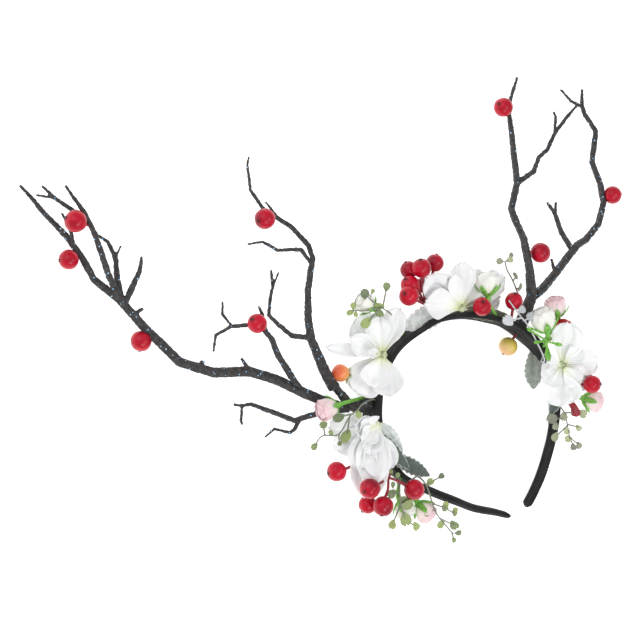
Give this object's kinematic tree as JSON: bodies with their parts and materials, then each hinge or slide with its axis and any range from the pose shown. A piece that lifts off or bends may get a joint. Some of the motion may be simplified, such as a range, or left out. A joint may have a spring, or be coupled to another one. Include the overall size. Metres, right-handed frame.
{
  "type": "antler headband",
  "caption": "Ribbon-wound headband with two forked twig antlers and a garland of white cloth flowers, rosebuds, red berries, serrated leaves and leafy wire sprigs.",
  "frame": {"origin": "the back rim's flat at the crown, where the band rests", "axes": "+Z the way the front of the band looks and up as it lies, +Y from the head opening out through the crown, +X across the band"},
  "size_m": [0.3798, 0.3484, 0.0429],
  "materials": {
    "ribbon": "matt black woven ribbon",
    "bark": "moulded bark, black with fine blue glitter",
    "berry": "satin red lacquer over foam",
    "petal": "white cloth petals, yellow-green at the throat",
    "rose_pink": "pale pink cloth",
    "rose_white": "cream cloth",
    "orange": "satin orange over foam",
    "yellow": "satin yellow with a green and pink blush",
    "leaf": "grey-green cloth leaf with a pale edge",
    "sprig": "frosted green and grey moulded leaflets",
    "bright_green": "bright green moulded plastic"
  },
  "bodies": {
    "root": {"antler_berry_left_1": "berry", "antler_berry_left_2": "berry", "antler_berry_left_3": "berry", "antler_berry_left_4": "berry", "antler_berry_left_5": "berry", "antler_berry_right_1": "berry", "antler_berry_right_2": "berry", "antler_berry_right_3": "berry", "antler_left_lower": "bark", "antler_left_middle": "bark", "antler_left_outer": "bark", "antler_left_stump": "bark", "antler_left_upper": "bark", "antler_right_inner": "bark", "antler_right_outer": "bark", "berry_right_middle": "berry", "berry_right_side": "berry", "berry_right_upper": "berry", "berry_single_left": "berry", "berry_spray_bottom": "berry", "berry_spray_top": "berry", "berry_top": "berry", "berry_yellow": "yellow", "bud_orange": "orange", "flower_left_lower": "petal", "flower_left_upper": "petal", "flower_right": "petal", "flower_top": "petal", "green_bud_spray": "bright_green", "headband": "ribbon", "leaf_left_inner": "leaf", "leaf_left_lower_a": "leaf", "leaf_left_lower_b": "leaf", "leaf_right_inner": "leaf", "leaf_right_lower": "leaf", "leaf_top": "leaf", "leaf_top_left": "leaf", "rosebud_pink_bottom": "rose_pink", "rosebud_pink_left": "rose_pink", "rosebud_pink_right": "rose_pink", "rosebud_pink_side": "rose_pink", "rosebud_white_bottom": "rose_white", "rosebud_white_right": "rose_white", "rosebud_white_top": "rose_white", "rosebud_white_top_left": "rose_white", "sprig_bottom_left": "sprig", "sprig_bottom_right": "sprig", "sprig_left": "sprig", "sprig_right": "sprig", "sprig_right_front": "sprig", "sprig_top_left": "sprig", "sprig_top_right": "sprig"}
  },
  "joints": []
}
